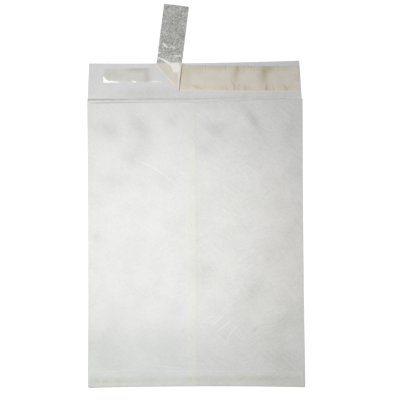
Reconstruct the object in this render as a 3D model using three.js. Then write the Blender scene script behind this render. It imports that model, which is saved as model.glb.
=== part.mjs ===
// A self-seal mailing envelope, 9 by 12 inches, open at one end. It is one folded sheet of white
// spun-bonded polyethylene, and it lies on its address face with the seal flap open.
// Millimetres, +Z up, +Y towards the flap. The origin is the middle of the front panel's underside.
import * as THREE from 'three';

const { clamp, degToRad, lerp, smoothstep } = THREE.MathUtils;

// Sheet and body
const bodyWidth = 228.6; // from side fold to side fold
const bodyHeight = 304.8; // from the bottom fold to the flap's score line
const sheetThickness = 0.2;
const innerGap = 0.8; // between front and back along the side folds, which are pressed but soft
const fitClearance = 0.03; // between layers that are glued or laid on each other
const edgeClearance = 0.4; // beside a free edge that another layer steps over

// Pocket: the back stands off the front in a low dome
const pocketLoft = 5.5;
const mouthLoft = 5;
const mouthBlend = 60; // length over which the rise changes towards the mouth
const domePower = 2.6; // 2 is a parabola across the body; above it the middle is flatter
const bottomRise = 70; // length over which the back rises from the bottom fold

// Shallow hollows in the back, each taking a share of the rise away
const hollows = [
  { x: -94, y: 120, radius: 17, share: 0.1 },
  { x: -58, y: 128, radius: 18, share: 0.12 },
  { x: 62, y: 130, radius: 18, share: 0.12 },
  { x: -40, y: 72, radius: 22, share: 0.08 },
  { x: 63, y: -53, radius: 20, share: 0.13 },
  { x: 61, y: -92, radius: 14, share: 0.1 },
];

// Centre seam: the left back panel lies over the right one
const seamFreeEdge = 0.5; // x of the left panel's free edge
const seamOverlap = 11.5;
const seamRamp = 4; // width in which a layer steps up or down
const seamStiffness = 14; // hollows fade out this close to the overlap
const glueThickness = 0.1;
const seamGlueWidth = 6.5;
const seamGlueInset = 1.5; // from the free edge

// Throat: the back panels stop short of the score line
const throatDrop = 3.8;
const throatBlend = 24; // the rows of the sheet shift over this length
const leftThroatRun = 2.5; // width in which the left panel's edge falls
const rightThroatRun = 108;

// Bottom flap: folded up over both back panels and glued
const bottomFlapHeight = 17.2;
const bottomFlapInsetLeft = 0.7;
const bottomFlapInsetRight = 2.1;
const drapeLength = 4; // beyond the fold, until the flap lies down on the panels
const bottomGlueHeight = 4.4;
const bottomGlueStart = 6.6; // from the bottom fold
const bottomGlueMargin = 5; // from the side folds

// Seal flap: the front panel carried on past the score line
const flapHeightLeft = 39.2;
const flapHeightRight = 40.8;
const flapTopSag = 1.2; // of the top edge at its middle
const flapShoulderLeft = 0.2; // inset of the flap's sides at the score line
const flapShoulderRight = 0.7;
const flapInsetLeft = 1.9; // at the top edge
const flapInsetRight = 3.1;
const shoulderHeight = 1.5;
const scoreWidth = 1.2;
const scoreDepth = 0.07;

// Adhesive on the flap, under the release liner
const adhesiveThickness = 0.1;
const adhesiveHeight = 17.3;
const adhesiveMarginTop = 3.1; // from the middle of the flap's top edge
const adhesiveMarginLeft = 16.8; // from the side folds
const adhesiveMarginRight = 13.3;

// Release liner: one strip, folded back on itself once, so that its left part points up
const linerThickness = 0.1;
const linerWidth = 26.8;
const linerLength = 216;
const linerOverhang = 9.1; // of the liner's lower edge below the adhesive, at its fold
const linerMarginRight = 4; // from the right side fold
const linerTilt = 0.7; // degrees clockwise, about the foot of the fold
const linerFoldRun = 126.3; // from the liner's right end to the fold, along its lower edge
const linerFoldAngle = 48.3; // degrees between the strip and the fold line
const linerFoldRadius = 0.6;
const linerSpring = 2.8; // rise of the folded part above its own fold
const linerSpringReach = 24;
const linerTipHeight = 0.5; // of the tip's mid-surface above the resting plane

// The raised back pulls the middle of the bottom fold and of both side folds in
const bottomPull = 1.7;
const bottomPullReach = 40;
const sidePull = 0.6;
const sidePullReach = 110;

// Mesh steps
const columnStep = 14;
const rowStep = 18;
const foldSteps = 4;
const linerFoldSteps = 6;
const linerStep = 9;

// Derived places
const halfWidth = bodyWidth / 2;
const scoreY = bodyHeight / 2;
const sideFoldRadius = (sheetThickness + innerGap) / 2;
const panelHalf = halfWidth - sideFoldRadius - sheetThickness / 2; // where the side folds begin
const layerPitch = sheetThickness + glueThickness + 2 * fitClearance; // one glued layer to the next
const bottomFoldRadius = sideFoldRadius + layerPitch;
const panelBottom = -scoreY + bottomFoldRadius + sheetThickness / 2; // where the bottom fold begins
const bottomFlapTop = -scoreY + bottomFlapHeight;
const bottomFlapReach = bottomFlapTop - panelBottom;
const bottomGlueLow = -scoreY + bottomGlueStart;
const seamHiddenEdge = seamFreeEdge - seamOverlap;
const seamMiddle = (seamFreeEdge + seamHiddenEdge) / 2;
const flapTop = scoreY + (flapHeightLeft + flapHeightRight) / 2 - flapTopSag; // at its middle
const adhesiveLow = flapTop - adhesiveMarginTop - adhesiveHeight;
const linerY = adhesiveLow - linerOverhang;
const linerRight = halfWidth - linerMarginRight;
const linerLevel = sheetThickness + adhesiveThickness + 2 * fitClearance + linerThickness / 2;

// Evenly spaced values from start to end, in steps of about the given size.
function spaced(start, end, step) {
  const count = Math.max(1, Math.round(Math.abs(end - start) / step));
  return Array.from({ length: count + 1 }, (_, k) => lerp(start, end, k / count));
}

// Sorted values with near-equal ones merged.
function merged(...lists) {
  const tolerance = 0.05;
  const sorted = lists.flat().sort((a, b) => a - b);
  return sorted.filter((value, k) => k === 0 || value - sorted[k - 1] > tolerance);
}

// A closed solid from a grid of cells: two faces, one on each side of a middle surface, and a wall
// along every edge that has no neighbour. pointAt(i, j, side) gives a corner, with side +1 or -1.
function gridSolid(columnCount, rowCount, hasCell, pointAt) {
  const positions = [];
  const index = [];
  const known = new Map();
  const corner = (i, j, side) => {
    const key = `${i},${j},${side}`;
    if (!known.has(key)) {
      known.set(key, positions.length / 3);
      positions.push(...pointAt(i, j, side).toArray());
    }
    return known.get(key);
  };
  const quad = (a, b, c, d) => index.push(a, b, c, a, c, d);
  const inside = (i, j) =>
    i >= 0 && j >= 0 && i < columnCount - 1 && j < rowCount - 1 && hasCell(i, j);

  for (let i = 0; i < columnCount - 1; i++) {
    for (let j = 0; j < rowCount - 1; j++) {
      if (!inside(i, j)) continue;
      const ring = [[i, j], [i + 1, j], [i + 1, j + 1], [i, j + 1]];
      const neighbours = [[i, j - 1], [i + 1, j], [i, j + 1], [i - 1, j]];
      quad(...ring.map(([p, q]) => corner(p, q, 1)));
      quad(...ring.map(([p, q]) => corner(p, q, -1)).reverse());
      neighbours.forEach(([p, q], side) => {
        if (inside(p, q)) return;
        const from = ring[side];
        const to = ring[(side + 1) % ring.length];
        quad(corner(...from, -1), corner(...to, -1), corner(...to, 1), corner(...from, 1));
      });
    }
  }

  const geometry = new THREE.BufferGeometry();
  geometry.setAttribute('position', new THREE.Float32BufferAttribute(positions, 3));
  geometry.setIndex(index);
  geometry.computeVertexNormals();
  return geometry;
}

// The unit normal of surface(p, q) at a point, from small steps kept inside the given p range.
function normalAt(surface, p, q, lowP = -Infinity, highP = Infinity) {
  const step = 0.001;
  const alongP = surface(Math.min(p + step, highP), q).sub(surface(Math.max(p - step, lowP), q));
  const alongQ = surface(p, q + step).sub(surface(p, q - step));
  return alongP.cross(alongQ).normalize();
}

// How far the back panels stand off their folded level.
function loft(x, y) {
  const fromSide = 1 - Math.min(Math.abs(x) / panelHalf, 1) ** domePower;
  const fromBottom = smoothstep(y, panelBottom, panelBottom + bottomRise);
  const height = lerp(mouthLoft, pocketLoft, smoothstep(scoreY - y, 0, mouthBlend));
  const fromSeam = Math.abs(x - seamMiddle) - seamOverlap / 2 - seamRamp;
  const give = smoothstep(fromSeam, 0, seamStiffness);
  const hollow = hollows.reduce(
    (sum, h) => sum + h.share * Math.exp(-((x - h.x) ** 2 + (y - h.y) ** 2) / h.radius ** 2), 0);
  return height * fromSide * fromBottom * (1 - give * Math.min(hollow, 1));
}

// Middle level of a back panel that lies directly over the front.
function backLevel(x, y) {
  return sheetThickness / 2 + 2 * sideFoldRadius + loft(x, y);
}

// 1 where the left panel lies over the right one, falling to 0 on either side.
function overlapShare(x) {
  const lowEdge = seamHiddenEdge - edgeClearance;
  const highEdge = seamFreeEdge + edgeClearance;
  return smoothstep(x, lowEdge - seamRamp, lowEdge) *
    (1 - smoothstep(x, highEdge, highEdge + seamRamp));
}

// Where the throat edge of a back panel lies below the score line.
function throatFall(x) {
  const run = x < 0 ? leftThroatRun : rightThroatRun;
  return throatDrop * clamp((panelHalf - Math.abs(x)) / run, 0, 1);
}

// A point of the envelope at x, y and z, with the bottom fold and the side folds pulled in.
function place(x, y, z) {
  const nearBottom = 1 - smoothstep(y, -scoreY, -scoreY + bottomPullReach);
  const midway = smoothstep(y, -scoreY, -scoreY + sidePullReach) *
    (1 - smoothstep(y, scoreY - sidePullReach, scoreY));
  const pulledX = x * (1 - midway * sidePull / halfWidth);
  const pulledY = y + bottomPull * nearBottom * (1 - (x / halfWidth) ** 2);
  return new THREE.Vector3(pulledX, pulledY, z);
}

// Columns across the body and rows up it, shared by the front, the back panels and the bottom flap,
// so that layers which lie on each other have the same facets.
const panelColumns = merged(
  [-panelHalf + leftThroatRun, panelHalf - rightThroatRun],
  spaced(-panelHalf, seamHiddenEdge - edgeClearance - seamRamp, columnStep),
  spaced(seamHiddenEdge - edgeClearance - seamRamp, seamHiddenEdge - edgeClearance, seamRamp / 2),
  [seamHiddenEdge, seamFreeEdge],
  spaced(seamFreeEdge + edgeClearance, seamFreeEdge + edgeClearance + seamRamp, seamRamp / 2),
  spaced(seamFreeEdge + edgeClearance + seamRamp, panelHalf, columnStep),
);

const bottomRows = merged(
  [panelBottom, panelBottom + drapeLength / 2, panelBottom + drapeLength],
  [bottomGlueLow, bottomGlueLow + bottomGlueHeight],
  spaced(panelBottom + drapeLength, bottomFlapTop, rowStep / 3),
);

const riseTop = Math.max(panelBottom + bottomRise, bottomFlapTop);
const bodyRows = merged(
  bottomRows,
  spaced(bottomFlapTop, riseTop, rowStep / 2),
  spaced(riseTop, scoreY - throatBlend, rowStep),
  spaced(scoreY - throatBlend, scoreY - scoreWidth, throatBlend / 3),
  [scoreY - scoreWidth / 2, scoreY],
);

// Envelope sheet: the flat blank is a cross. Its middle column of cells is, from the bottom up, the
// bottom flap, the bottom fold, the front panel and the seal flap. Its arms are the side folds and
// the two back panels. u and v are distances on the blank; the front panel keeps its own x and y.
function sheetPoint(u, v) {
  const beyondSide = Math.abs(u) - panelHalf;
  if (beyondSide > 0) return armPoint(Math.sign(u), beyondSide, v);
  if (v < panelBottom) return bottomFlapPoint(u, panelBottom - v);
  return place(v > scoreY ? flapAcross(u, v - scoreY) : u, v, sheetThickness / 2);
}

// A point on a side fold or a back panel, this far beyond the front panel's edge.
function armPoint(side, distance, y) {
  const foldLength = Math.PI * sideFoldRadius;
  if (distance < foldLength) {
    const turn = distance / sideFoldRadius;
    const x = side * (panelHalf + sideFoldRadius * Math.sin(turn));
    return place(x, y, sheetThickness / 2 + sideFoldRadius * (1 - Math.cos(turn)));
  }
  const x = side * (panelHalf - (distance - foldLength));
  const stepUp = side < 0 ? layerPitch * overlapShare(Math.min(x, seamMiddle)) : 0;
  return place(x, y, backLevel(x, y) + stepUp);
}

// A point on the bottom fold or the bottom flap, this far beyond the front panel's bottom.
function bottomFlapPoint(x, distance) {
  const foldLength = Math.PI * bottomFoldRadius;
  if (distance < foldLength) {
    const turn = distance / bottomFoldRadius;
    const y = panelBottom - bottomFoldRadius * Math.sin(turn);
    return place(x, y, sheetThickness / 2 + bottomFoldRadius * (1 - Math.cos(turn)));
  }
  const reach = distance - foldLength;
  const y = panelBottom + reach;
  const lyingDown = smoothstep(reach, 0, drapeLength);
  const spare = 1 - overlapShare(x);
  const level = sheetThickness / 2 + 2 * bottomFoldRadius + loft(x, y);
  return place(x, y, level - layerPitch * spare * lyingDown);
}

// The seal flap's height above the score line at column u. Its top edge is a shallow curve.
function flapHeightAt(u) {
  const share = (u + panelHalf) / (2 * panelHalf);
  const sag = flapTopSag * 4 * share * (1 - share);
  return lerp(flapHeightLeft, flapHeightRight, share) - sag;
}

// x of the seal flap at column u, this far up from the score line. Its sides step in at the score
// line and lean in towards the top edge.
function flapAcross(u, up) {
  const shareUp = up / flapHeightAt(u);
  const inset = (shoulder, top) =>
    shoulder * smoothstep(up, 0, shoulderHeight) + (top - shoulder) * shareUp;
  const left = -halfWidth + inset(flapShoulderLeft, flapInsetLeft);
  const right = halfWidth - inset(flapShoulderRight, flapInsetRight);
  return lerp(left, right, (u + panelHalf) / (2 * panelHalf));
}

// The corner of the blank at column u and row v, with the free edges in their true places.
function blankCorner(u, v, flapShare) {
  if (flapShare > 0) return [u, scoreY + flapShare * flapHeightAt(u)];
  if (Math.abs(u) <= panelHalf) return [u, v];
  const distance = Math.abs(u) - panelHalf - Math.PI * sideFoldRadius;
  const x = Math.sign(u) * (panelHalf - Math.max(distance, 0));
  return [u, v - throatFall(x) * smoothstep(v, scoreY - throatBlend, scoreY)];
}

function sheetGeometry() {
  const foldLength = Math.PI * sideFoldRadius;
  const foldColumns = spaced(0, foldLength, foldLength / foldSteps).slice(1);
  const arm = (side, freeEdge) => {
    const xs = panelColumns.filter((x) => side * x < panelHalf && side * x >= side * freeEdge);
    const us = xs.map((x) => side * (panelHalf + foldLength + panelHalf - side * x));
    return [...foldColumns.map((s) => side * (panelHalf + s)), ...us];
  };
  const columns = [...arm(-1, seamFreeEdge), ...panelColumns, ...arm(1, seamHiddenEdge)];
  columns.sort((a, b) => a - b);

  const bottomFoldLength = Math.PI * bottomFoldRadius;
  const flapDistances = [
    ...spaced(0, bottomFoldLength, bottomFoldLength / foldSteps).slice(1),
    ...bottomRows.slice(1).map((y) => bottomFoldLength + y - panelBottom),
  ];
  const sealRows = merged([scoreWidth / 2, shoulderHeight], spaced(0, flapHeightLeft, columnStep))
    .slice(1)
    .map((up) => ({ v: scoreY, flapShare: up / flapHeightLeft, kind: 'seal' }));
  const rows = [
    ...flapDistances.reverse().map((s) => ({ v: panelBottom - s, flapShare: 0, kind: 'bottom' })),
    ...bodyRows.map((v) => ({ v, flapShare: 0, kind: 'body' })),
    ...sealRows,
  ];

  const hasCell = (i, j) => {
    const middle = (columns[i] + columns[i + 1]) / 2;
    return Math.abs(middle) < panelHalf || (rows[j].kind === 'body' && rows[j + 1].kind === 'body');
  };
  const pointAt = (i, j, side) => {
    const row = rows[j];
    const [u, v] = blankCorner(columns[i], row.v, row.flapShare);
    const limit = row.kind === 'body' ? Infinity : panelHalf;
    const point = sheetPoint(u, v);
    const scored = side > 0 && row.kind === 'body' && row.v === scoreY && Math.abs(u) < panelHalf;
    const offset = side * (sheetThickness / 2) - (scored ? scoreDepth : 0);
    point.addScaledVector(normalAt(sheetPoint, u, v, -limit, limit), offset);
    if (row.kind === 'bottom') insetBottomCorner(point, u, row.v);
    return point;
  };
  return gridSolid(columns.length, rows.length, hasCell, pointAt);
}

// The bottom flap's two ends lean in from the fold to its free edge.
function insetBottomCorner(point, u, v) {
  if (Math.abs(u) < panelHalf) return;
  const reach = Math.max(panelBottom - v - Math.PI * bottomFoldRadius, 0) / bottomFlapReach;
  point.x += reach * (u < 0 ? bottomFlapInsetLeft : -bottomFlapInsetRight);
}

// A thin layer that follows level(x, y), which gives the height of its middle.
function layerSolid(xs, ys, level, thickness) {
  return gridSolid(xs.length, ys.length, () => true, (i, j, side) =>
    place(xs[i], ys[j], level(xs[i], ys[j]) + side * thickness / 2));
}

// Seam glue: a bead between the two back panels, on the rows of the sheet.
function seamGlueGeometry() {
  const right = seamFreeEdge - seamGlueInset;
  const ys = bodyRows
    .slice(1, -2)
    .map((v) => v - throatDrop * smoothstep(v, scoreY - throatBlend, scoreY));
  const level = (x, y) => backLevel(x, y) + layerPitch / 2;
  return layerSolid([right - seamGlueWidth, right], ys, level, glueThickness);
}

// Bottom glue: a bead between the bottom flap and the back panels under it.
function bottomGlueGeometry() {
  const end = halfWidth - bottomGlueMargin;
  const xs = merged([-end, end], panelColumns.filter((x) => Math.abs(x) < end));
  const level = (x, y) => backLevel(x, y) + layerPitch * (overlapShare(x) + 1 / 2);
  const ys = [bottomGlueLow, bottomGlueLow + bottomGlueHeight];
  return layerSolid(xs, ys, level, glueThickness);
}

// Flap adhesive: a pressure-sensitive band on the inner face of the seal flap.
function adhesiveGeometry() {
  const left = -halfWidth + adhesiveMarginLeft;
  const right = halfWidth - adhesiveMarginRight;
  const ys = [adhesiveLow, adhesiveLow + adhesiveHeight];
  const level = () => sheetThickness + fitClearance + adhesiveThickness / 2;
  return layerSolid([left, right], ys, level, adhesiveThickness);
}

// Release liner. a is the distance from its right end, b the distance from its lower edge. Past the
// slanted fold line the strip turns over and lies back on itself, and beyond the flap its tail
// comes down to the resting plane.
const foldSkew = 1 / Math.tan(degToRad(linerFoldAngle));
const foldAlong = new THREE.Vector2(-foldSkew, 1).normalize(); // along the fold line
const foldAcross = new THREE.Vector2(-foldAlong.y, foldAlong.x); // towards the tail's side
const foldFoot = new THREE.Vector2(linerRight - linerFoldRun, linerY);

function linerPoint(a, b) {
  const flat = new THREE.Vector2(linerRight - a, linerY + b).sub(foldFoot);
  const along = flat.dot(foldAlong);
  const across = flat.dot(foldAcross);
  const turn = clamp(across / linerFoldRadius, 0, Math.PI);
  const beyond = Math.max(across - Math.PI * linerFoldRadius, 0);
  const reach = Math.min(across, 0) + linerFoldRadius * Math.sin(turn) - beyond;
  const plan = foldFoot.clone().addScaledVector(foldAlong, along).addScaledVector(foldAcross, reach);
  plan.rotateAround(foldFoot, -degToRad(linerTilt));

  const folded = linerLevel + linerFoldRadius * (1 - Math.cos(turn));
  const sprung = folded + linerSpring * smoothstep(beyond, 0, linerSpringReach);
  const tailAngle = degToRad(2 * linerFoldAngle + linerTilt); // from the strip's own direction
  const tipY = linerY + (linerLength - linerFoldRun) * Math.sin(tailAngle);
  const flapEnd = scoreY + Math.max(flapHeightLeft, flapHeightRight);
  const down = beyond > 0 ? smoothstep(plan.y, flapEnd, tipY) : 0;
  return new THREE.Vector3(plan.x, plan.y, lerp(sprung, linerTipHeight, down));
}

function linerGeometry() {
  const arc = Math.PI * linerFoldRadius / Math.sin(degToRad(linerFoldAngle));
  const square = linerFoldRun / 2; // the columns turn square from here to the right end
  const foldEnd = linerFoldRun + arc;
  const skewEnd = foldEnd + linerWidth;
  const columns = merged(
    spaced(0, linerFoldRun, linerStep),
    spaced(linerFoldRun, foldEnd, arc / linerFoldSteps),
    spaced(foldEnd, linerLength, linerStep / 2),
  );
  const rows = spaced(0, linerWidth, linerWidth / 6);
  const skewAt = (a) => foldSkew *
    (a < foldEnd ? smoothstep(a, 0, square) : 1 - smoothstep(a, skewEnd, linerLength));
  const pointAt = (i, j, side) => {
    const b = rows[j];
    const a = columns[i] + b * skewAt(columns[i]);
    return linerPoint(a, b).addScaledVector(normalAt(linerPoint, a, b), side * linerThickness / 2);
  };
  return gridSolid(columns.length, rows.length, () => true, pointAt);
}

// Materials
const spunBonded = new THREE.MeshStandardMaterial({ color: 0xe6e6e2, roughness: 0.62 });
const hotMelt = new THREE.MeshStandardMaterial({ color: 0xd8cf9e, roughness: 0.4 });
const pressureAdhesive = new THREE.MeshStandardMaterial({ color: 0xcac9c4, roughness: 0.25 });
const glassine = new THREE.MeshStandardMaterial({ color: 0xc8c1b2, roughness: 0.35 });

function piece(name, geometry, material) {
  const mesh = new THREE.Mesh(geometry, material);
  mesh.name = name;
  return mesh;
}

const envelope = new THREE.Group();
envelope.add(
  piece('envelope_sheet', sheetGeometry(), spunBonded),
  piece('seam_glue', seamGlueGeometry(), hotMelt),
  piece('bottom_glue', bottomGlueGeometry(), hotMelt),
  piece('flap_adhesive', adhesiveGeometry(), pressureAdhesive),
  piece('release_liner', linerGeometry(), glassine),
);

export default envelope;
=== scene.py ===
import math
import bpy
import numpy as np
from mathutils import Euler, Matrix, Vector


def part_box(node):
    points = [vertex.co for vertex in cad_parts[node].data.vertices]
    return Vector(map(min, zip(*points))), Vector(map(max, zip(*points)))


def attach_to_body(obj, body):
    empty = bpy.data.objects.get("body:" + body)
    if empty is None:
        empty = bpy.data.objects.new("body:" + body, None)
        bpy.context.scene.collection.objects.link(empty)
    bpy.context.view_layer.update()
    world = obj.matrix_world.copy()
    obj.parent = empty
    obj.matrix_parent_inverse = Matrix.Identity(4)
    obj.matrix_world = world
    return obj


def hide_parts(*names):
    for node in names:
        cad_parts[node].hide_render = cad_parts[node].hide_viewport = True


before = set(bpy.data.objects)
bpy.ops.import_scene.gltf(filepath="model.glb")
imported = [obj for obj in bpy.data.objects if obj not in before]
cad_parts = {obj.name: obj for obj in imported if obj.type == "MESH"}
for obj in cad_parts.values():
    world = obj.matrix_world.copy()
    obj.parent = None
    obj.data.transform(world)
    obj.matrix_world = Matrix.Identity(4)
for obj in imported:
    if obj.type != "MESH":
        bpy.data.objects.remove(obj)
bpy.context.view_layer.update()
print("frame loaded,", len(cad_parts), "nodes")

# The envelope lies on its address side with the seamed back up, x across and y towards the flap.
# Lengths are millimetres until a mesh is made; places come from the frame wherever it has them.
mm = 0.001


def nodeBox(name):
    low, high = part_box(name)
    return [value / mm for value in low], [value / mm for value in high]


# Rows of values under the same names; a row may leave out the last ones.
def named(names, *values):
    return [dict(zip(names.split(), row)) for row in values]


sheetLow, sheetHigh = nodeBox("envelope_sheet")
linerLow, linerHigh = nodeBox("release_liner")
gumLow, gumHigh = nodeBox("flap_adhesive")
seamLow, seamHigh = nodeBox("seam_glue")
bottomLow, bottomHigh = nodeBox("bottom_glue")

halfWidth = sheetHigh[0]
bottomY = round(sheetLow[1], 1)
scoreY = -bottomY               # the origin is the middle of the front panel
flapTopRight = sheetHigh[1]

shape = {
    "sheet": 0.2,               # thickness of the spun-bonded sheet
    "glue": 0.1,
    "clearance": 0.03,
    "innerGap": 0.8,            # between front and back along the soft side folds
    "pocketRise": 5.5,          # the back stands off the front in a low dome
    "mouthRise": 5.0,
    "mouthBlend": 60,
    "domePower": 2.6,
    "bottomRise": 70,
    "seamFreeEdge": 0.5,        # x of the left panel's edge, which lies over the right panel
    "seamOverlap": 11.5,
    "seamRamp": 4,
    "seamStiffness": 14,
    "edgeClearance": 0.4,
    "throatDrop": 3.8,          # the back panels stop this far below the score line
    "throatBlend": 24,
    "leftThroatRun": 2.5,
    "rightThroatRun": 108,
    "bottomFlap": 17.2,
    "bottomFlapTilt": 0.9,      # its free edge is cut this much too high at the left, low at the right
    "bottomInsetLeft": 0.7,
    "bottomInsetRight": 2.1,
    "drape": 4,
    "flapLeft": 39.2,
    "flapRight": 40.8,
    "flapTopSag": 1.2,          # of the top edge at its middle
    "shoulderLeft": 0.2,        # how far the flap's sides step in at the score line
    "shoulderRight": 0.7,
    "flapInsetLeft": 1.9,       # and how far in they are at the top
    "flapInsetRight": 3.1,
    "shoulderHeight": 1.5,
    "scoreWidth": 1.2,
    "scoreDepth": 0.07,
    "bottomPull": 1.7,          # the raised back pulls in the middle of the bottom fold
    "bottomPullReach": 40,
    "sidePull": 0.6,            # and in the middle of both side folds
    "sidePullReach": 110,
    "bottomLift": 0.6,          # the bottom fold's left end was folded this much higher
}

# Soft dents in the back: place, half length and half width, turn in degrees, share of the rise that
# each takes away, and how much painted shade darkens the sheet there
dents = named(
    "at reach turn share dull",
    ((-92, 120), (13, 8), -25, 0.12, 0.9),
    ((-58, 124), (14, 9), -55, 0.12, 1.1),
    ((-58, 101), (13, 9), 80, 0.04, 0.5),
    ((-25, 129), (9, 7), 60, 0.05, 0.6),
    ((20, 122), (15, 9), -25, 0.08, 0.95),
    ((10, 101), (12, 8), -40, 0.04, 0.5),
    ((28, 146), (30, 6), 0, 0.0, 0.4),
    ((63, 130), (16, 5), -60, 0.12, 1.1),
    ((101, 120), (18, 10), 75, 0.06, 0.5),
    ((-68, 89), (11, 6), -25, 0.06, 0.6),
    ((-88, 66), (22, 9), -15, 0.06, 0.4),
    ((-40, 72), (24, 12), -25, 0.05, 0.2),
    ((8, -31), (12, 10), 20, 0.05, 0.5),
    ((76, -6), (20, 11), 35, 0.06, 0.35),
    ((103, 12), (18, 7), 78, 0.06, 0.5),
    ((61, -52), (18, 9), 64, 0.13, 0.95),
    ((94, -84), (16, 10), 20, 0.05, 0.5),
    ((80, -118), (26, 14), -35, 0.0, 0.4),
    ((-90, -108), (26, 14), 4, 0.05, 0.45),
    ((-20, -104), (22, 12), -15, 0.0, 0.3),
    ((-105, 7), (5, 4), 0, 0.02, 0.5),
    ((0, 12), (45, 26), 90, 0.02, 0.4),
    ((-62, -10), (70, 50), 90, 0.0, 0.3),
    ((61.4, -92), (3.4, 1.3), 51, 0.0, 1.3),
)

# The same for painted shade where the flap is greyer
flapPaintedShade = named(
    "at reach turn dull",
    ((-62, 159), (34, 6), 0, 0.7),
    ((-28, 162), (26, 9), 0, 0.45),
)

foldRadius = (shape["sheet"] + shape["innerGap"]) / 2
panelHalf = halfWidth - foldRadius - shape["sheet"] / 2
foldLength = math.pi * foldRadius
layerPitch = shape["sheet"] + shape["glue"] + 2 * shape["clearance"]
bottomRadius = foldRadius + layerPitch
bottomFoldLength = math.pi * bottomRadius
panelBottom = bottomY + bottomRadius + shape["sheet"] / 2
bottomFlapTop = bottomY + shape["bottomFlap"]
hiddenEdge = shape["seamFreeEdge"] - shape["seamOverlap"]
seamMiddle = (shape["seamFreeEdge"] + hiddenEdge) / 2


def smooth(value, low, high):
    t = np.clip((value - low) / (high - low), 0, 1)
    return t * t * (3 - 2 * t)


def mix(low, high, share):
    return low + (high - low) * share


# Soft spots of one kind, summed at x and y.
def spotSum(x, y, spots, kind):
    total = 0
    for spot in spots:
        turn = math.radians(spot["turn"])
        dx, dy = x - spot["at"][0], y - spot["at"][1]
        along = (dx * math.cos(turn) + dy * math.sin(turn)) / spot["reach"][0]
        across = (dy * math.cos(turn) - dx * math.sin(turn)) / spot["reach"][1]
        total = total + spot[kind] * np.exp(-along ** 2 - across ** 2)
    return total


# How far the back stands off its folded level.
def rise(x, y):
    fromSide = 1 - np.minimum(np.abs(x) / panelHalf, 1) ** shape["domePower"]
    fromBottom = smooth(y, panelBottom, panelBottom + shape["bottomRise"])
    towardsMouth = smooth(scoreY - y, 0, shape["mouthBlend"])
    height = mix(shape["mouthRise"], shape["pocketRise"], towardsMouth)
    fromSeam = np.abs(x - seamMiddle) - shape["seamOverlap"] / 2 - shape["seamRamp"]
    give = smooth(fromSeam, 0, shape["seamStiffness"])
    return height * fromSide * fromBottom * (1 - give * np.minimum(spotSum(x, y, dents, "share"), 1))


def backLevel(x, y):
    return shape["sheet"] / 2 + 2 * foldRadius + rise(x, y)


# 1 where the left panel lies over the right one, 0 clear of it.
def overlapShare(x):
    low = hiddenEdge - shape["edgeClearance"]
    high = shape["seamFreeEdge"] + shape["edgeClearance"]
    rampUp = smooth(x, low - shape["seamRamp"], low)
    return rampUp * (1 - smooth(x, high, high + shape["seamRamp"]))


def throatFall(x):
    run = np.where(x < 0, shape["leftThroatRun"], shape["rightThroatRun"])
    return shape["throatDrop"] * np.clip((panelHalf - np.abs(x)) / run, 0, 1)


# A point at x, y and z, with the bottom fold and the side folds pulled in.
def place(x, y, z):
    nearBottom = 1 - smooth(y, bottomY, bottomY + shape["bottomPullReach"])
    midway = smooth(y, bottomY, bottomY + shape["sidePullReach"])
    midway = midway * (1 - smooth(y, scoreY - shape["sidePullReach"], scoreY))
    pulledX = x * (1 - midway * shape["sidePull"] / halfWidth)
    pulledY = y + shape["bottomPull"] * nearBottom * (1 - (x / halfWidth) ** 2)
    pulledY = pulledY + shape["bottomLift"] * nearBottom * smooth(-x, 0, halfWidth)
    return np.stack([pulledX, pulledY, z], -1)


def flapHeight(u):
    share = (u + panelHalf) / (2 * panelHalf)
    sag = shape["flapTopSag"] * 4 * share * (1 - share)
    return mix(shape["flapLeft"], shape["flapRight"], share) - sag


# x of the seal flap, whose sides step in at the score line and lean in towards its top.
def flapAcross(u, up):
    shareUp = up / flapHeight(u)
    step = smooth(up, 0, shape["shoulderHeight"])
    left = shape["shoulderLeft"] * (step - shareUp) + shape["flapInsetLeft"] * shareUp
    right = shape["shoulderRight"] * (step - shareUp) + shape["flapInsetRight"] * shareUp
    return mix(left - halfWidth, halfWidth - right, (u + panelHalf) / (2 * panelHalf))


# Where a point of the flat blank, u across and v along, comes to lie once it is folded.
def foldedSheet(u, v):
    beyond = np.abs(u) - panelHalf
    side = np.sign(u)
    turn = np.clip(beyond / foldRadius, 0, math.pi)
    foldX = side * (panelHalf + foldRadius * np.sin(turn))
    foldZ = shape["sheet"] / 2 + foldRadius * (1 - np.cos(turn))
    backX = side * (panelHalf - (beyond - foldLength))
    stepUp = np.where(side < 0, layerPitch * overlapShare(np.minimum(backX, seamMiddle)), 0)
    onFold = beyond < foldLength
    arm = place(np.where(onFold, foldX, backX), v, np.where(onFold, foldZ, backLevel(backX, v) + stepUp))

    below = panelBottom - v
    turn = np.clip(below / bottomRadius, 0, math.pi)
    onFold = below < bottomFoldLength
    reach = below - bottomFoldLength
    tilt = -shape["bottomFlapTilt"] * u / halfWidth * reach / (bottomFlapTop - panelBottom)
    y = np.where(onFold, panelBottom - bottomRadius * np.sin(turn), panelBottom + reach + tilt)
    lying = (1 - overlapShare(u)) * smooth(reach, 0, shape["drape"])
    flapZ = shape["sheet"] / 2 + 2 * bottomRadius + rise(u, y) - layerPitch * lying
    bottom = place(u, y, np.where(onFold, shape["sheet"] / 2 + bottomRadius * (1 - np.cos(turn)), flapZ))

    across = np.where(v > scoreY, flapAcross(u, v - scoreY), u)
    front = place(across, v, np.full_like(u, shape["sheet"] / 2))
    inner = np.where((below > 0)[..., None], bottom, front)
    return np.where((beyond > 0)[..., None], arm, inner)


def normalsOf(surface, p, q, limit=np.inf):
    step = 0.001
    alongP = surface(np.minimum(p + step, limit), q) - surface(np.maximum(p - step, -limit), q)
    alongQ = surface(p, q + step) - surface(p, q - step)
    normal = np.cross(alongP, alongQ)
    return normal / np.linalg.norm(normal, axis=-1, keepdims=True)


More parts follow.
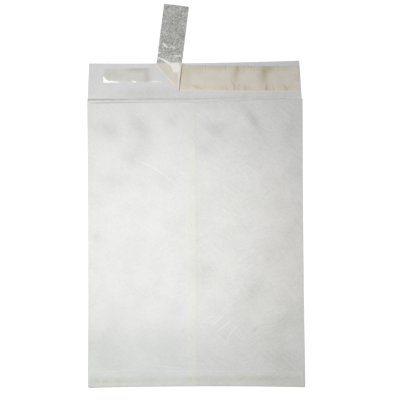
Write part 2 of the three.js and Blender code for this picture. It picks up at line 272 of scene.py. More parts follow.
def spaced(start, end, step):
    return np.linspace(start, end, max(1, round(abs(end - start) / step)) + 1)


def merged(*lists):
    values = np.sort(np.concatenate([np.atleast_1d(part) for part in lists]))
    return values[np.concatenate([[True], np.diff(values) > 0.05])]


# A closed sheet from two corner grids, one on each side, with a wall along every open edge.
def sheetMesh(name, upper, lower, cells, fields):
    columns, rows = upper.shape[:2]
    number = np.arange(columns * rows).reshape(columns, rows)
    under = columns * rows
    i, j = np.nonzero(cells)
    corners = [number[i, j], number[i + 1, j], number[i + 1, j + 1], number[i, j + 1]]
    faces = [np.stack(corners, 1), np.stack(corners[::-1], 1) + under]
    around = np.pad(cells, 1)
    for k, (di, dj) in enumerate([(0, -1), (1, 0), (0, 1), (-1, 0)]):
        isOpen = ~around[i + 1 + di, j + 1 + dj]
        start, end = corners[k][isOpen], corners[(k + 1) % 4][isOpen]
        faces.append(np.stack([start + under, end + under, end, start], 1))
    faces = np.concatenate(faces)
    used, faces = np.unique(faces, return_inverse=True)
    faces = faces.reshape(-1, 4)
    points = np.concatenate([upper.reshape(-1, 3), lower.reshape(-1, 3)])[used] * mm

    mesh = bpy.data.meshes.new(name)
    mesh.from_pydata(points.tolist(), [], faces.tolist())
    for field, values in fields.items():
        flat = np.concatenate([values.reshape(columns * rows, -1)] * 2)[used].astype(np.float32)
        kind, key = ("FLOAT", "value") if flat.shape[1] == 1 else ("FLOAT_VECTOR", "vector")
        mesh.attributes.new(field, kind, "POINT").data.foreach_set(key, flat.ravel())
    mesh.shade_smooth()
    mesh.set_sharp_from_angle(angle=math.radians(50))
    piece = bpy.data.objects.new(name, mesh)
    bpy.context.scene.collection.objects.link(piece)
    return piece


# How freely each place may buckle: the back everywhere but at its folds, the flap above its score.
give = {"side": 9, "bottom": 12, "scoreGap": 2, "scoreReach": 16}


def backGive(x, y):
    fromSide = smooth(panelHalf - np.abs(x), 0, give["side"])
    return fromSide * smooth(y - panelBottom, 0, give["bottom"])


def flapGive(y):
    return smooth(y, scoreY + give["scoreGap"], scoreY + give["scoreGap"] + give["scoreReach"])


# How close points lie to strokes: 1 on a stroke, 0 beyond its half width, which may taper.
def strokeMarks(x, y, strokes):
    marks = np.zeros_like(x)
    for stroke in strokes:
        (x0, y0), (x1, y1) = stroke["from"], stroke["to"]
        length = math.hypot(x1 - x0, y1 - y0)
        share = np.clip(((x - x0) * (x1 - x0) + (y - y0) * (y1 - y0)) / length ** 2, 0, 1)
        off = np.hypot(x - mix(x0, x1, share), y - mix(y0, y1, share))
        half = mix(*stroke["half"], share)
        marks = np.maximum(marks, stroke.get("bright", 1) * (1 - smooth(off, 0.35 * half, half)))
    return marks


def hexColour(code):
    parts = [int(code[k:k + 2], 16) / 255 for k in (1, 3, 5)]
    linear = [c / 12.92 if c <= 0.04045 else ((c + 0.055) / 1.055) ** 2.4 for c in parts]
    return (*linear, 1.0)


# Adds a node with its settings, and with values, hex colours or links for its inputs.
def addNode(tree, kind, inputs=None, **settings):
    node = tree.nodes.new(kind)
    for key, value in settings.items():
        setattr(node, key, value)
    for key, value in (inputs or {}).items():
        if isinstance(value, bpy.types.NodeSocket):
            tree.links.new(value, node.inputs[key])
        elif isinstance(value, str) and value.startswith("#"):
            node.inputs[key].default_value = hexColour(value)
        else:
            node.inputs[key].default_value = value
    return node


def calc(tree, operation, *values):
    return addNode(tree, "ShaderNodeMath", dict(enumerate(values)), operation=operation).outputs[0]


# Creases in the back: from, to, bow sideways, reach to each side, rise, and how light the line is, a
# whitened crease with a painted highlight
creases = named(
    "from to bow reach rise light",
    ((-74, 94), (-12, 56), 4.2, 3.4, 0.4, 0.85),
    ((-69, 145), (-46, 121), 0.6, 4.0, -0.2, 0.5),
    ((-54, 147), (-32, 124), -0.6, 3.0, 0.14, 0.4),
    ((-5, 145), (21, 121), 0.8, 3.0, 0.16, 0.5),
    ((5, 146), (33, 117), -0.8, 3.0, -0.2, 0.7),
    ((3, 124), (24, 106), 0.5, 2.6, 0.14, 0.5),
    ((40, 142), (60, 121), 0.9, 5.0, 0.3, 0.5),
    ((52, 148), (72, 120), -1.2, 6.0, -0.35, 0.0),
    ((84, 147), (105, 129), 0.6, 3.0, 0.2, 0.9),
    ((92, 147), (110, 134), -0.5, 3.0, -0.15, 0.4),
    ((40, 93), (80, 60), 1.4, 3.0, 0.2, 0.5),
    ((66, 96), (84, 74), -0.8, 4.0, 0.15, 0.3),
    ((4, -84), (24, -75), 1.5, 2.4, 0.3, 1.1),
    ((11, -90), (34, -70), -1.6, 2.4, 0.3, 1.0),
    ((20, -97), (42, -79), 1.8, 2.4, -0.15, 0.9),
    ((33, -103), (47, -84), 1.6, 2.2, 0.32, 1.1),
    ((9, -107), (31, -91), -1.5, 2.6, 0.12, 0.8),
    ((26, -110), (42, -97), 1.2, 2.2, 0.12, 0.8),
    ((56, -97), (65, -90), 0.4, 1.8, -0.6, 0.0),
    ((-38, -38), (-11, -37), 0.4, 2.4, 0.15, 0.6),
    ((-110, -57), (-97, -59), 0.3, 2.2, -0.14, 0.2),
    ((-104, -127), (-62, -130), 0.8, 2.2, 0.12, 0.4),
    ((-53, -126), (-8, -131), -1.0, 2.2, -0.16, 0.6),
    ((111.3, -133), (111.6, -150), 0.0, 2.0, 0.0, 0.9),
    ((-100, -96), (-72, -92), 1.0, 3.0, -0.15, 0.3),
    ((96, 30), (107, 6), -1.2, 4.0, -0.28, 0.2),
    ((84, -28), (105, -52), 1.4, 4.5, -0.2, 0.3),
)


def creaseLines(name, lines):
    points, edges, risings, reaches = [], [], [], []
    for line in lines:
        start, end = Vector(line["from"]), Vector(line["to"])
        steps = max(6, round((end - start).length))
        sideways = Vector((start.y - end.y, end.x - start.x)).normalized()
        for k in range(steps + 1):
            along = k / steps
            arch = 4 * along * (1 - along)
            point = start.lerp(end, along) + sideways * line["bow"] * arch
            if k:
                edges.append((len(points) - 1, len(points)))
            points.append((point.x * mm, point.y * mm, 0))
            risings.append(line["rise"] * arch ** 0.7 * mm)
            reaches.append(line["reach"] * mm)
    mesh = bpy.data.meshes.new(name)
    mesh.from_pydata(points, edges, [])
    mesh.attributes.new("rise", "FLOAT", "POINT").data.foreach_set("value", risings)
    mesh.attributes.new("reach", "FLOAT", "POINT").data.foreach_set("value", reaches)
    lineObject = bpy.data.objects.new(name, mesh)
    bpy.context.scene.collection.objects.link(lineObject)
    return lineObject


# Inputs of the tree below, for the sheet; the back has waves and sharper buckles, the flap lifts
relief = {
    "Wave Height": 0.36 * mm,
    "Wave Length": 44 * mm,
    "Buckle Height": 0.15 * mm,
    "Buckle Length": 26 * mm,
    "Flap Lift": 0.9 * mm,
    "Flap Wave Length": 34 * mm,
    "Pucker Height": 0.0,       # only the liner has puckers
    "Pucker Length": 9 * mm,
    "Seed": 4.0,
}


# Geometry Nodes: waves, buckles and creases that move every layer alike, by its x and y only,
# so that what lies on each other never crosses.
def buildReliefTree():
    tree = bpy.data.node_groups.new("sheetRelief", "GeometryNodeTree")
    face = tree.interface
    face.new_socket(name="Geometry", in_out="INPUT", socket_type="NodeSocketGeometry")
    for name in relief:
        face.new_socket(name=name, in_out="INPUT", socket_type="NodeSocketFloat")
    face.new_socket(name="Creases", in_out="INPUT", socket_type="NodeSocketObject")
    face.new_socket(name="Material", in_out="INPUT", socket_type="NodeSocketMaterial")
    face.new_socket(name="Geometry", in_out="OUTPUT", socket_type="NodeSocketGeometry")
    given = addNode(tree, "NodeGroupInput").outputs
    position = addNode(tree, "GeometryNodeInputPosition").outputs[0]
    parts = addNode(tree, "ShaderNodeSeparateXYZ", {0: position}).outputs
    flat = addNode(tree, "ShaderNodeCombineXYZ", {0: parts[0], 1: parts[1]}).outputs[0]

    def field(name):
        found = addNode(tree, "GeometryNodeInputNamedAttribute", {"Name": name}, data_type="FLOAT")
        return found.outputs["Attribute"]

    # Humps over x and y, as long as the named input says
    def humps(lengthName, seedShift, detail):
        scale = calc(tree, "DIVIDE", 1.0, given[lengthName])
        seed = calc(tree, "ADD", given["Seed"], seedShift)
        inputs = {"Vector": flat, "W": seed, "Scale": scale, "Detail": detail, "Roughness": 0.45}
        return addNode(tree, "ShaderNodeTexNoise", inputs, noise_dimensions="4D").outputs["Fac"]

    def signed(value):
        return calc(tree, "MULTIPLY_ADD", value, 2.0, -1.0)

    waves = calc(tree, "MULTIPLY", signed(humps("Wave Length", 0.0, 1.0)), given["Wave Height"])
    valley = calc(tree, "ABSOLUTE", signed(humps("Buckle Length", 7.3, 1.0)))
    buckles = calc(tree, "MULTIPLY", calc(tree, "SUBTRACT", 0.35, valley), given["Buckle Height"])
    lift = calc(tree, "MULTIPLY", humps("Flap Wave Length", 3.1, 1.0), given["Flap Lift"])
    pucker = calc(tree, "MULTIPLY", humps("Pucker Length", 5.7, 2.0), given["Pucker Height"])

    # Each crease is highest on its line and falls off to both sides
    lines = addNode(tree, "GeometryNodeObjectInfo", {"Object": given["Creases"]}).outputs["Geometry"]
    distance = addNode(tree, "GeometryNodeProximity", {0: lines, "Sample Position": flat},
                       target_element="EDGES").outputs["Distance"]
    nearest = addNode(tree, "GeometryNodeSampleNearest", {"Geometry": lines, "Sample Position": flat},
                      domain="POINT").outputs[0]

    def sampled(name):
        inputs = {"Geometry": lines, "Value": field(name), "Index": nearest}
        return addNode(tree, "GeometryNodeSampleIndex", inputs, data_type="FLOAT", domain="POINT").outputs[0]

    share = calc(tree, "MINIMUM", calc(tree, "DIVIDE", distance, sampled("reach")), 1.0)
    profile = calc(tree, "POWER", calc(tree, "SUBTRACT", 1.0, share), 1.6)
    folded = calc(tree, "MULTIPLY", profile, sampled("rise"))

    # The back, the flap and the liner each give way by their own share
    back = field("backGive")
    back = calc(tree, "MULTIPLY", back, calc(tree, "ADD", calc(tree, "ADD", waves, buckles), folded))
    flap = calc(tree, "MULTIPLY", field("flapGive"), lift)
    loose = calc(tree, "MULTIPLY", field("puckerGive"), calc(tree, "ADD", pucker, folded))
    total = calc(tree, "ADD", calc(tree, "ADD", back, flap), loose)
    offset = addNode(tree, "ShaderNodeCombineXYZ", {2: total}).outputs[0]
    moved = addNode(tree, "GeometryNodeSetPosition", {"Geometry": given["Geometry"], "Offset": offset})
    whole = addNode(tree, "GeometryNodeRealizeInstances", {0: moved.outputs[0]})
    painted = addNode(tree, "GeometryNodeSetMaterial",
                      {"Geometry": whole.outputs[0], "Material": given["Material"]})
    addNode(tree, "NodeGroupOutput", {0: painted.outputs[0]})
    return tree


reliefTree = buildReliefTree()
sheetCreases = creaseLines("sheetCreases", creases)
print("relief tree built")


def applyRelief(piece, lines, material, changes=None):
    values = {**relief, "Creases": lines, "Material": material, **(changes or {})}
    modifier = piece.modifiers.new("relief", "NODES")
    modifier.node_group = reliefTree
    for item in reliefTree.interface.items_tree:
        if item.in_out == "INPUT" and item.name in values:
            modifier[item.identifier] = values[item.name]
    bpy.context.view_layer.update()
    graph = bpy.context.evaluated_depsgraph_get()
    made = bpy.data.meshes.new_from_object(piece.evaluated_get(graph), preserve_all_data_layers=True,
                                           depsgraph=graph)
    piece.modifiers.remove(modifier)
    plain = piece.data
    piece.data = made
    bpy.data.meshes.remove(plain)
    made.name = piece.name


def attach(piece, node):
    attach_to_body(piece, "root")
    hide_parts(node)


# Materials
def startMaterial(name):
    material = bpy.data.materials.new(name)
    material.use_nodes = True
    tree = material.node_tree
    tree.nodes.clear()
    shader = addNode(tree, "ShaderNodeBsdfPrincipled")
    addNode(tree, "ShaderNodeOutputMaterial", {"Surface": shader.outputs[0]})
    return material, tree, shader


def product(tree, *values):
    total = values[0]
    for value in values[1:]:
        total = calc(tree, "MULTIPLY", total, value)
    return total


# A smooth change from start at low to end at high.
def ramp(tree, value, low, high, start=0.0, end=1.0):
    inputs = {"Value": value, "From Min": low, "From Max": high, "To Min": start, "To Max": end}
    return addNode(tree, "ShaderNodeMapRange", inputs, interpolation_type="SMOOTHSTEP").outputs[0]


# The same along x or y, with low and high in mm.
def slope(tree, axis, low, high, start=0.0, end=1.0):
    return ramp(tree, axis, low * mm, high * mm, start, end)


# 1 between low and high, falling to 0 over the soft width on either side, all in mm.
def band(tree, axis, low, high, soft):
    low, high, soft = low * mm, high * mm, soft * mm
    rising = ramp(tree, axis, low - soft, low + soft)
    return product(tree, rising, ramp(tree, axis, high + soft, high - soft))


def noise(tree, vector, size, detail=1.0, distortion=0.0):
    inputs = {"Vector": vector, "Scale": 1 / size, "Detail": detail, "Distortion": distortion}
    return addNode(tree, "ShaderNodeTexNoise", inputs).outputs["Fac"]


# The second colour laid over the first by its share; each may be a hex colour.
def blend(tree, share, first, second, mode="MIX"):
    inputs = {0: share, 6: first, 7: second}
    return addNode(tree, "ShaderNodeMix", inputs, data_type="RGBA", blend_type=mode).outputs[2]


def attribute(tree, name, output="Fac"):
    return addNode(tree, "ShaderNodeAttribute", attribute_name=name).outputs[output]


# A vector moved, turned and scaled, so that what follows it lies in that place and size.
def placed(tree, vector, at, angle, scale):
    inputs = {"Vector": vector, "Location": (*at, 0), "Rotation": (0, 0, angle), "Scale": (*scale, 1)}
    return addNode(tree, "ShaderNodeMapping", inputs, vector_type="TEXTURE").outputs[0]


# 1 where the vector is 0, falling to 0 where it is 1 long.
def softSpot(tree, vector):
    spot = addNode(tree, "ShaderNodeTexGradient", {"Vector": vector}, gradient_type="SPHERICAL")
    return spot.outputs["Fac"]


# Links the colour, and a bump of the height whose depth is in mm.
def finishMaterial(tree, shader, colour, height, strength, depth):
    tree.links.new(colour, shader.inputs["Base Color"])
    bump = addNode(tree, "ShaderNodeBump", {"Height": height, "Strength": strength, "Distance": depth * mm})
    tree.links.new(bump.outputs[0], shader.inputs["Normal"])


# How close the surface is to thin creases, each a bowed line with tapering ends. The faint ones are
# left out, as the shader has no room for them.
def creaseMarks(tree, vector, lines, width, faint):
    total = 0.0
    for line in lines:
        if line["light"] < faint:
            continue
        start, end = Vector(line["from"]) * mm, Vector(line["to"]) * mm
        middle = (start + end) / 2
        angle = math.atan2(end.y - start.y, end.x - start.x)
        turned = placed(tree, vector, (middle.x, middle.y), angle, ((end - start).length / 2, width * mm))
        along, across, _ = addNode(tree, "ShaderNodeSeparateXYZ", {0: turned}).outputs
        bow = line["bow"] / width
        lowered = calc(tree, "SUBTRACT", across, bow)
        straight = calc(tree, "MULTIPLY_ADD", calc(tree, "MULTIPLY", along, along), bow, lowered)
        point = addNode(tree, "ShaderNodeCombineXYZ", {0: along, 1: straight}).outputs[0]
        total = calc(tree, "MULTIPLY_ADD", softSpot(tree, point), line["light"], total)
    return total


spunSheet = {
    "base": "#F5F5F3",
    "thin": "#F5F5F5",          # a single layer, on the flap
    "warm": "#F2EEE8",
    "cool": "#EEF3F1",
    "dull": "#D9D9D6",          # where the strands lie flat, and painted shade of the dents, the flap's patches and the bottom fold
    "deep": "#B4B4B2",          # between the strands
    "light": "#FFFFFF",
    "glueTint": "#FCF7E0",
    "stain": "#E4E0AC",
    "score": "#A5A39F",
    "paintedLipGlow": "#F6F6F2",       # painted glow below the mouth's lip, in place of light through the thin sheet
    "strand": (11, 0.95),       # mm; the real strands are finer, and drawn as coarse as they show
    "shorter": 0.7,             # of the strands that lean the other way
    "strandBend": 1.4,
    "line": (34, 2.6),          # single bright strands
    "lineBend": 0.3,
    "patch": 36,                # sizes of the noises in mm
    "wisp": 5.5,
    "cloud": 30,
    "grain": 1.5,
    "streak": 16,
    "bead": 4,
    "run": 22,
    "broken": 9,
    "shake": 7,
    "shakeReach": 1.6,          # how far the light creases shake
    "crease": 1.3,              # half their width
    "faintCrease": 0.45,        # the least light that is still drawn
    "cloudShare": 0.12,         # how strongly each shows
    "paintedShadeShare": 0.42,
    "strandShare": (0.055, 0.095),      # how much more at the right, and how much at the left
    "lineShare": (0.14, 0.05),
    "creaseShare": 0.5,
    "hiddenShare": 0.1,
    "scoreMiddleShare": 0.22,
    "scoreLeftShare": 0.3,
    "roughness": 0.6,
    "ior": 1.5,
    "specular": 0.3,
    "creaseBump": 3.5,
    "grainBump": 0.4,
    "bump": (0.4, 0.06),        # strength, and depth in mm
}

# Smooth changes with a noise or an attribute: from, to, and the values there unless 0 and 1
sheetRamps = {
    "falling": (0.36, 0.6),
    "rising": (0.62, 0.38),
    "onLine": (0.05, 0.0),
    "doubled": (1.0, 2.0),      # by the number of layers
    "onBack": (1.4, 2.0),
    "tripled": (2.0, 3.0),
    "single": (1.6, 1.1),
    "cloudy": (0.6, 0.34),
    "betweenStrands": (1.05, 0.62),
    "grainy": (0.66, 0.34, 0.0, 0.06),
    "cutEdge": (1.1, 0.2, 0.0, 0.3),
    "streaky": (0.4, 0.64, 0.08, 0.2),
    "beaded": (0.42, 0.62, 0.12, 0.42),
    "running": (0.34, 0.6, 0.6, 1.0),
    "quiet": (0.0, 1.0, 0.85, 0.3),
    "broken": (0.4, 0.6, 0.0, 0.15),
}

# The same along x or y in mm, and bands with the softness of their edges
stainY = (bottomLow[1] + bottomHigh[1]) / 2
sheetSlopes = {
    "lean": (20, 120, -0.02, 0.13),
    "warmRight": (-40, 110),
    "warmLow": (160, 40, 0.08, 0.2),
    "coolLow": (-40, -150),
    "coolLeft": (110, -100, 0.3, 0.55),
    "towardsRight": (-60, 60),
    "stainSlant": (-95, 10, 1.4 * mm, -0.2 * mm),
    "stainEnd": (-104, -110),
    "onScore": (1.4, 0.5),
    "scoreMiddle": (40, -60),
    "scoreLeft": (-60, -112),
    # Where the painted glow below the lip lies and how strong it is
    "lipSlant": (-10, 80, 0.0, -1.7 * mm),
    "lipTop": (scoreY + 1.2, scoreY - 1.8),
    "lipBottom": (scoreY - 9, scoreY - 6),
    "paintedGlowLeft": (-112, -40, 0.06, 0.24),
    "paintedGlowRight": (20, 100, 1.0, 0.7),
}
sheetBands = {
    "glue": (hiddenEdge + 2.6, shape["seamFreeEdge"] - 0.5, 0.5),
    "hiddenEdge": (hiddenEdge + 0.6, hiddenEdge + 2.2, 0.6),
    "stain": (stainY - 2.1, stainY + 2.1, 2.4),
    "leftGap": (-66, -12, 7),
    "rightGap": (82, 94, 6),
}


# Flash-spun polyethylene: a satin white web of fine strands, cloudy where it is thicker or thinner.
# Each share is made just before its colour is laid, which keeps the shader small enough to run.
def makeSpunSheet():
    material, tree, shader = startMaterial("spunBondedPolyethylene")
    values = spunSheet
    blank = attribute(tree, "blankPlace", "Vector")
    layers = attribute(tree, "layers")
    place = addNode(tree, "ShaderNodeTexCoord").outputs["Object"]
    x, y, _ = addNode(tree, "ShaderNodeSeparateXYZ", {0: place}).outputs

    def by(value, name):
        return ramp(tree, value, *sheetRamps[name])

    def along(axis, name):
        return slope(tree, axis, *sheetSlopes[name])

    def within(axis, name):
        return band(tree, axis, *sheetBands[name])

    def strands(angle, shift, size, detail, bend):
        return noise(tree, placed(tree, blank, (shift, shift), math.radians(angle), size), 1.0, detail, bend)

    # Single bright strands: thin lines where a stretched noise crosses its middle
    def lines(angle, shift):
        crossing = strands(angle, shift, values["line"], 2.0, values["lineBend"])
        return by(calc(tree, "ABSOLUTE", calc(tree, "SUBTRACT", crossing, 0.5)), "onLine")

    # Patches of strands that fall or rise to the right, over the unfolded blank
    length, width = values["strand"]
    bend = values["strandBend"]
    leaning = calc(tree, "ADD", noise(tree, blank, values["patch"]), along(y, "lean"))
    fallingHere, risingHere = by(leaning, "falling"), by(leaning, "rising")
    falling = product(tree, strands(44, 0, (length, width), 3.0, bend), fallingHere)
    rising = product(tree, strands(-33, 31, (length * values["shorter"], width), 3.0, bend), risingHere)
    wisps = noise(tree, blank, values["wisp"], 4.0, 2.0)
    web = calc(tree, "MULTIPLY_ADD", wisps, 0.7, calc(tree, "ADD", falling, rising))
    risingLines = lines(-28, 87)
    bright = calc(tree, "MULTIPLY_ADD", risingLines, risingHere, product(tree, lines(42, 13), fallingHere))
    grain = noise(tree, blank, values["grain"], 2.0)
    cloud = noise(tree, blank, values["cloud"], 2.0)

    colour = blend(tree, by(layers, "doubled"), values["thin"], values["base"])
    warmth = product(tree, along(x, "warmRight"), along(y, "warmLow"))
    colour = blend(tree, warmth, colour, values["warm"], "MULTIPLY")
    coolness = product(tree, along(y, "coolLow"), along(x, "coolLeft"))
    colour = blend(tree, coolness, colour, values["cool"], "MULTIPLY")
    cloudy = by(cloud, "cloudy")
    # Painted shade: the dull attribute darkens the dents, the flap's patches and the band above the bottom
    # fold
    paintedDentShade = product(tree, attribute(tree, "dull"), values["paintedShadeShare"])
    dull = calc(tree, "MULTIPLY_ADD", cloudy, values["cloudShare"], paintedDentShade)
    colour = blend(tree, dull, colour, values["dull"], "MULTIPLY")
    towardsRight = along(x, "towardsRight")
    strandShow = calc(tree, "MULTIPLY_ADD", towardsRight, *values["strandShare"])
    strandShow = product(tree, strandShow, by(web, "betweenStrands"))
    colour = blend(tree, strandShow, colour, values["deep"], "MULTIPLY")
    lineShow = product(tree, bright, calc(tree, "MULTIPLY_ADD", towardsRight, *values["lineShare"]))
    colour = blend(tree, lineShow, colour, values["light"])
    colour = blend(tree, by(grain, "grainy"), colour, values["deep"], "MULTIPLY")

    # Thin light creases, a little shaky, whitened and with a painted highlight, and the cut edges, where
    # torn strands catch the light, as a painted highlight
    inputs = {"Vector": place, "Scale": 1 / (values["shake"] * mm)}
    shake = addNode(tree, "ShaderNodeTexNoise", inputs).outputs["Color"]
    far = values["shakeReach"] * mm
    shaken = addNode(tree, "ShaderNodeVectorMath", {0: shake, 1: (far, far, 0), 2: place},
                     operation="MULTIPLY_ADD").outputs[0]
    marks = creaseMarks(tree, shaken, creases, values["crease"], values["faintCrease"])
    marks = product(tree, marks, by(layers, "doubled"))
    colour = blend(tree, product(tree, marks, values["creaseShare"]), colour, values["light"])
    colour = blend(tree, by(attribute(tree, "edgeDistance"), "cutEdge"), colour, values["light"])

    # The centre seam's glue shows as a faint yellow band, and the hidden edge as a light line
    onBack = by(layers, "onBack")
    glued = within(x, "glue")
    streaks = noise(tree, place, values["streak"] * mm, 2.0)
    tint = product(tree, glued, onBack, by(streaks, "streaky"))
    colour = blend(tree, tint, colour, values["glueTint"])
    hidden = product(tree, within(x, "hiddenEdge"), onBack, values["hiddenShare"])
    colour = blend(tree, hidden, colour, values["light"])

    # The bottom flap's glue shows as slanted, uneven stains with two gaps
    inBand = within(calc(tree, "ADD", y, along(x, "stainSlant")), "stain")
    quiet = calc(tree, "ADD", within(x, "leftGap"), within(x, "rightGap"))
    quiet = calc(tree, "ADD", quiet, along(x, "stainEnd"))
    beads = noise(tree, place, values["bead"] * mm, 3.0, 0.5)
    runs = noise(tree, place, values["run"] * mm, 1.0)
    stained = product(tree, inBand, by(beads, "beaded"), by(runs, "running"))
    stained = product(tree, stained, by(layers, "tripled"), by(quiet, "quiet"))
    colour = blend(tree, stained, colour, values["stain"], "MULTIPLY")

    # The score line is pressed in and drawn darker and greyer, most of all at its left
    offScore = calc(tree, "ABSOLUTE", calc(tree, "SUBTRACT", y, (scoreY + 0.4) * mm))
    scoreDarkening = by(noise(tree, place, values["broken"] * mm, 2.0), "broken")
    scoreDarkening = calc(tree, "MULTIPLY_ADD", along(x, "scoreMiddle"), values["scoreMiddleShare"], scoreDarkening)
    scoreDarkening = calc(tree, "MULTIPLY_ADD", along(x, "scoreLeft"), values["scoreLeftShare"], scoreDarkening)
    scored = product(tree, along(offScore, "onScore"), scoreDarkening)
    colour = blend(tree, scored, colour, values["score"], "MULTIPLY")

    # The back's lip shades the strip below the score; a painted glow lights that strip again
    lowered = calc(tree, "ADD", y, along(x, "lipSlant"))
    paintedLipGlow = product(tree, by(layers, "single"), along(lowered, "lipTop"))
    for axis, name in ((y, "lipBottom"), (x, "paintedGlowLeft"), (x, "paintedGlowRight")):
        paintedLipGlow = product(tree, paintedLipGlow, along(axis, name))
    shader.inputs["Emission Color"].default_value = hexColour(values["paintedLipGlow"])
    tree.links.new(paintedLipGlow, shader.inputs["Emission Strength"])

    shader.inputs["Roughness"].default_value = values["roughness"]
    shader.inputs["IOR"].default_value = values["ior"]
    shader.inputs["Specular IOR Level"].default_value = values["specular"]
    height = calc(tree, "MULTIPLY_ADD", grain, values["grainBump"], web)
    height = calc(tree, "MULTIPLY_ADD", marks, values["creaseBump"], height)
    finishMaterial(tree, shader, colour, height, *values["bump"])
    return material


hotMelt = {"base": "#D8CF9E", "deep": "#C4B87C", "lump": 5, "roughness": 0.35, "bump": (0.4, 0.1)}


# Hot-melt glue: a soft yellowish resin, glossy and lumpy.
def makeHotMelt():
    material, tree, shader = startMaterial("hotMeltGlue")
    place = addNode(tree, "ShaderNodeTexCoord").outputs["Object"]
    lumps = noise(tree, place, hotMelt["lump"] * mm, 2.0)
    colour = blend(tree, lumps, hotMelt["base"], hotMelt["deep"])
    shader.inputs["Roughness"].default_value = hotMelt["roughness"]
    finishMaterial(tree, shader, colour, lumps, *hotMelt["bump"])
    return material


flapGum = {
    "base": "#E9E8E3",
    "dark": "#CCCAC4",
    "flap": "#F3F3F2",          # it thins out to the sheet's own colour at its top and sides
    "white": "#FFFFFF",
    "mottle": 11,               # mm
    "mottled": (0.42, 0.66, 0.0, 0.22),
    "patch": ((-62, 187.5), (17, 7), 1.2),      # a darker patch: place and reach in mm, strength
    "streak": ((-51.5, 178), (4.5, 15), 0.5),
    "ragged": 5,                # mm, how uneven its top edge is
    "topEdge": (gumHigh[1] - 1.6, gumHigh[1] + 2.6),
    "rightEdge": (-50, -43, 0.0, 0.55),
    "leftEdge": (gumLow[0] + 1.2, gumLow[0]),
    "dry": 0.32,                # roughness, and that of the gleams, which are painted highlights
    "wet": 0.08,
    # how strongly the painted gleams glow
    "glow": 0.3,
    "bump": (0.35, 0.12),
}


# Pressure-sensitive adhesive: a thin tacky film, greyer than the sheet and wet-looking.
def makeFlapGum():
    material, tree, shader = startMaterial("pressureSensitiveAdhesive")
    values = flapGum
    place = addNode(tree, "ShaderNodeTexCoord").outputs["Object"]
    x, y, _ = addNode(tree, "ShaderNodeSeparateXYZ", {0: place}).outputs
    mottle = noise(tree, place, values["mottle"] * mm, 3.0)
    darkness = ramp(tree, mottle, *values["mottled"])
    for at, reach, strength in (values["patch"], values["streak"]):
        centred = placed(tree, place, [value * mm for value in at], 0, [value * mm for value in reach])
        darkness = calc(tree, "MULTIPLY_ADD", softSpot(tree, centred), strength, darkness)
    colour = blend(tree, darkness, values["base"], values["dark"])
    ragged = calc(tree, "MULTIPLY_ADD", mottle, values["ragged"] * mm, y)
    thinning = slope(tree, ragged, *values["topEdge"])
    for edge in (values["rightEdge"], values["leftEdge"]):
        thinning = calc(tree, "MAXIMUM", thinning, slope(tree, x, *edge))
    colour = blend(tree, thinning, colour, values["flap"])
    # Painted highlights: the gleams are laid white, glossy and glowing
    gleam = attribute(tree, "gleam")
    colour = blend(tree, gleam, colour, values["white"])
    inputs = {"Value": gleam, "To Min": values["dry"], "To Max": values["wet"]}
    roughness = addNode(tree, "ShaderNodeMapRange", inputs).outputs[0]
    tree.links.new(roughness, shader.inputs["Roughness"])
    shader.inputs["Emission Color"].default_value = hexColour(values["white"])
    tree.links.new(product(tree, gleam, values["glow"]), shader.inputs["Emission Strength"])
    finishMaterial(tree, shader, colour, mottle, *values["bump"])
    return material


linerPaper = {
    "warm": "#F3EDDF",
    "brown": "#D0C5AD",
    "grey": "#ECEDE9",
    "dark": "#9B9C97",
    "glare": "#FFFDF7",
    "scuff": "#FFFFFF",
    "shadow": "#B29C72",
    "speck": 1.9,               # mm
    "cloud": 12,
    "mottle": 9,
    "cloudy": (0.3, 0.7),
    "cloudShare": 0.18,
    "darkerLow": (245, 195, 0.0, 0.13),         # mm, and the values there
    "specked": (0.34, 0.68, 0.0, 0.66),
    "mottled": (0.42, 0.7, 0.0, 0.16),
    "flapEnd": (190.6, 191.6),  # where the table shows through instead of the flap
    "paintedGlare": (0.62, 0.45, 0.72, 1.0),
    "roughness": 0.42,
    "glareGlow": 0.5,           # beside the scuffs
    "glow": 0.12,
    "bump": (0.3, 0.12),
}


# Silicone-coated glassine: thin, smooth and slightly see-through, beige over the flap and
# speckled grey beyond it.
def makeLinerPaper():
    material, tree, shader = startMaterial("siliconeCoatedGlassine")
    values = linerPaper
    place = addNode(tree, "ShaderNodeTexCoord").outputs["Object"]
    _, y, _ = addNode(tree, "ShaderNodeSeparateXYZ", {0: place}).outputs
    stuck, glare, scuff, shadow = [attribute(tree, name) for name in ("stuck", "glare", "scuff", "shadow")]
    worms = noise(tree, place, values["speck"] * mm, 1.5, 1.1)
    broad = noise(tree, place, values["cloud"] * mm, 2.0)
    cloudy = ramp(tree, broad, *values["cloudy"])
    darker = slope(tree, y, *values["darkerLow"])
    darker = calc(tree, "MULTIPLY_ADD", cloudy, values["cloudShare"], darker)
    specks = calc(tree, "ADD", darker, ramp(tree, worms, *values["specked"]))
    free = blend(tree, specks, values["grey"], values["dark"])
    mottle = noise(tree, place, values["mottle"] * mm, 3.0)
    browning = calc(tree, "ADD", stuck, ramp(tree, mottle, *values["mottled"]))
    laid = blend(tree, browning, values["warm"], values["brown"])
    colour = blend(tree, slope(tree, y, *values["flapEnd"]), laid, free)
    # Painted highlights: the glare, and the scuffs with their glints; then the painted shadow of the gap
    paintedGlare = product(tree, glare, ramp(tree, worms, *values["paintedGlare"]))
    colour = blend(tree, paintedGlare, colour, values["glare"])
    colour = blend(tree, scuff, colour, values["scuff"])
    colour = blend(tree, shadow, colour, values["shadow"], "MULTIPLY")
    shader.inputs["Roughness"].default_value = values["roughness"]
    shader.inputs["Emission Color"].default_value = hexColour(values["scuff"])
    # The glare and the scuffs also glow, as painted highlights
    gleam = calc(tree, "MULTIPLY_ADD", glare, values["glareGlow"], scuff)
    tree.links.new(product(tree, gleam, values["glow"]), shader.inputs["Emission Strength"])
    finishMaterial(tree, shader, colour, mottle, *values["bump"])
    return material


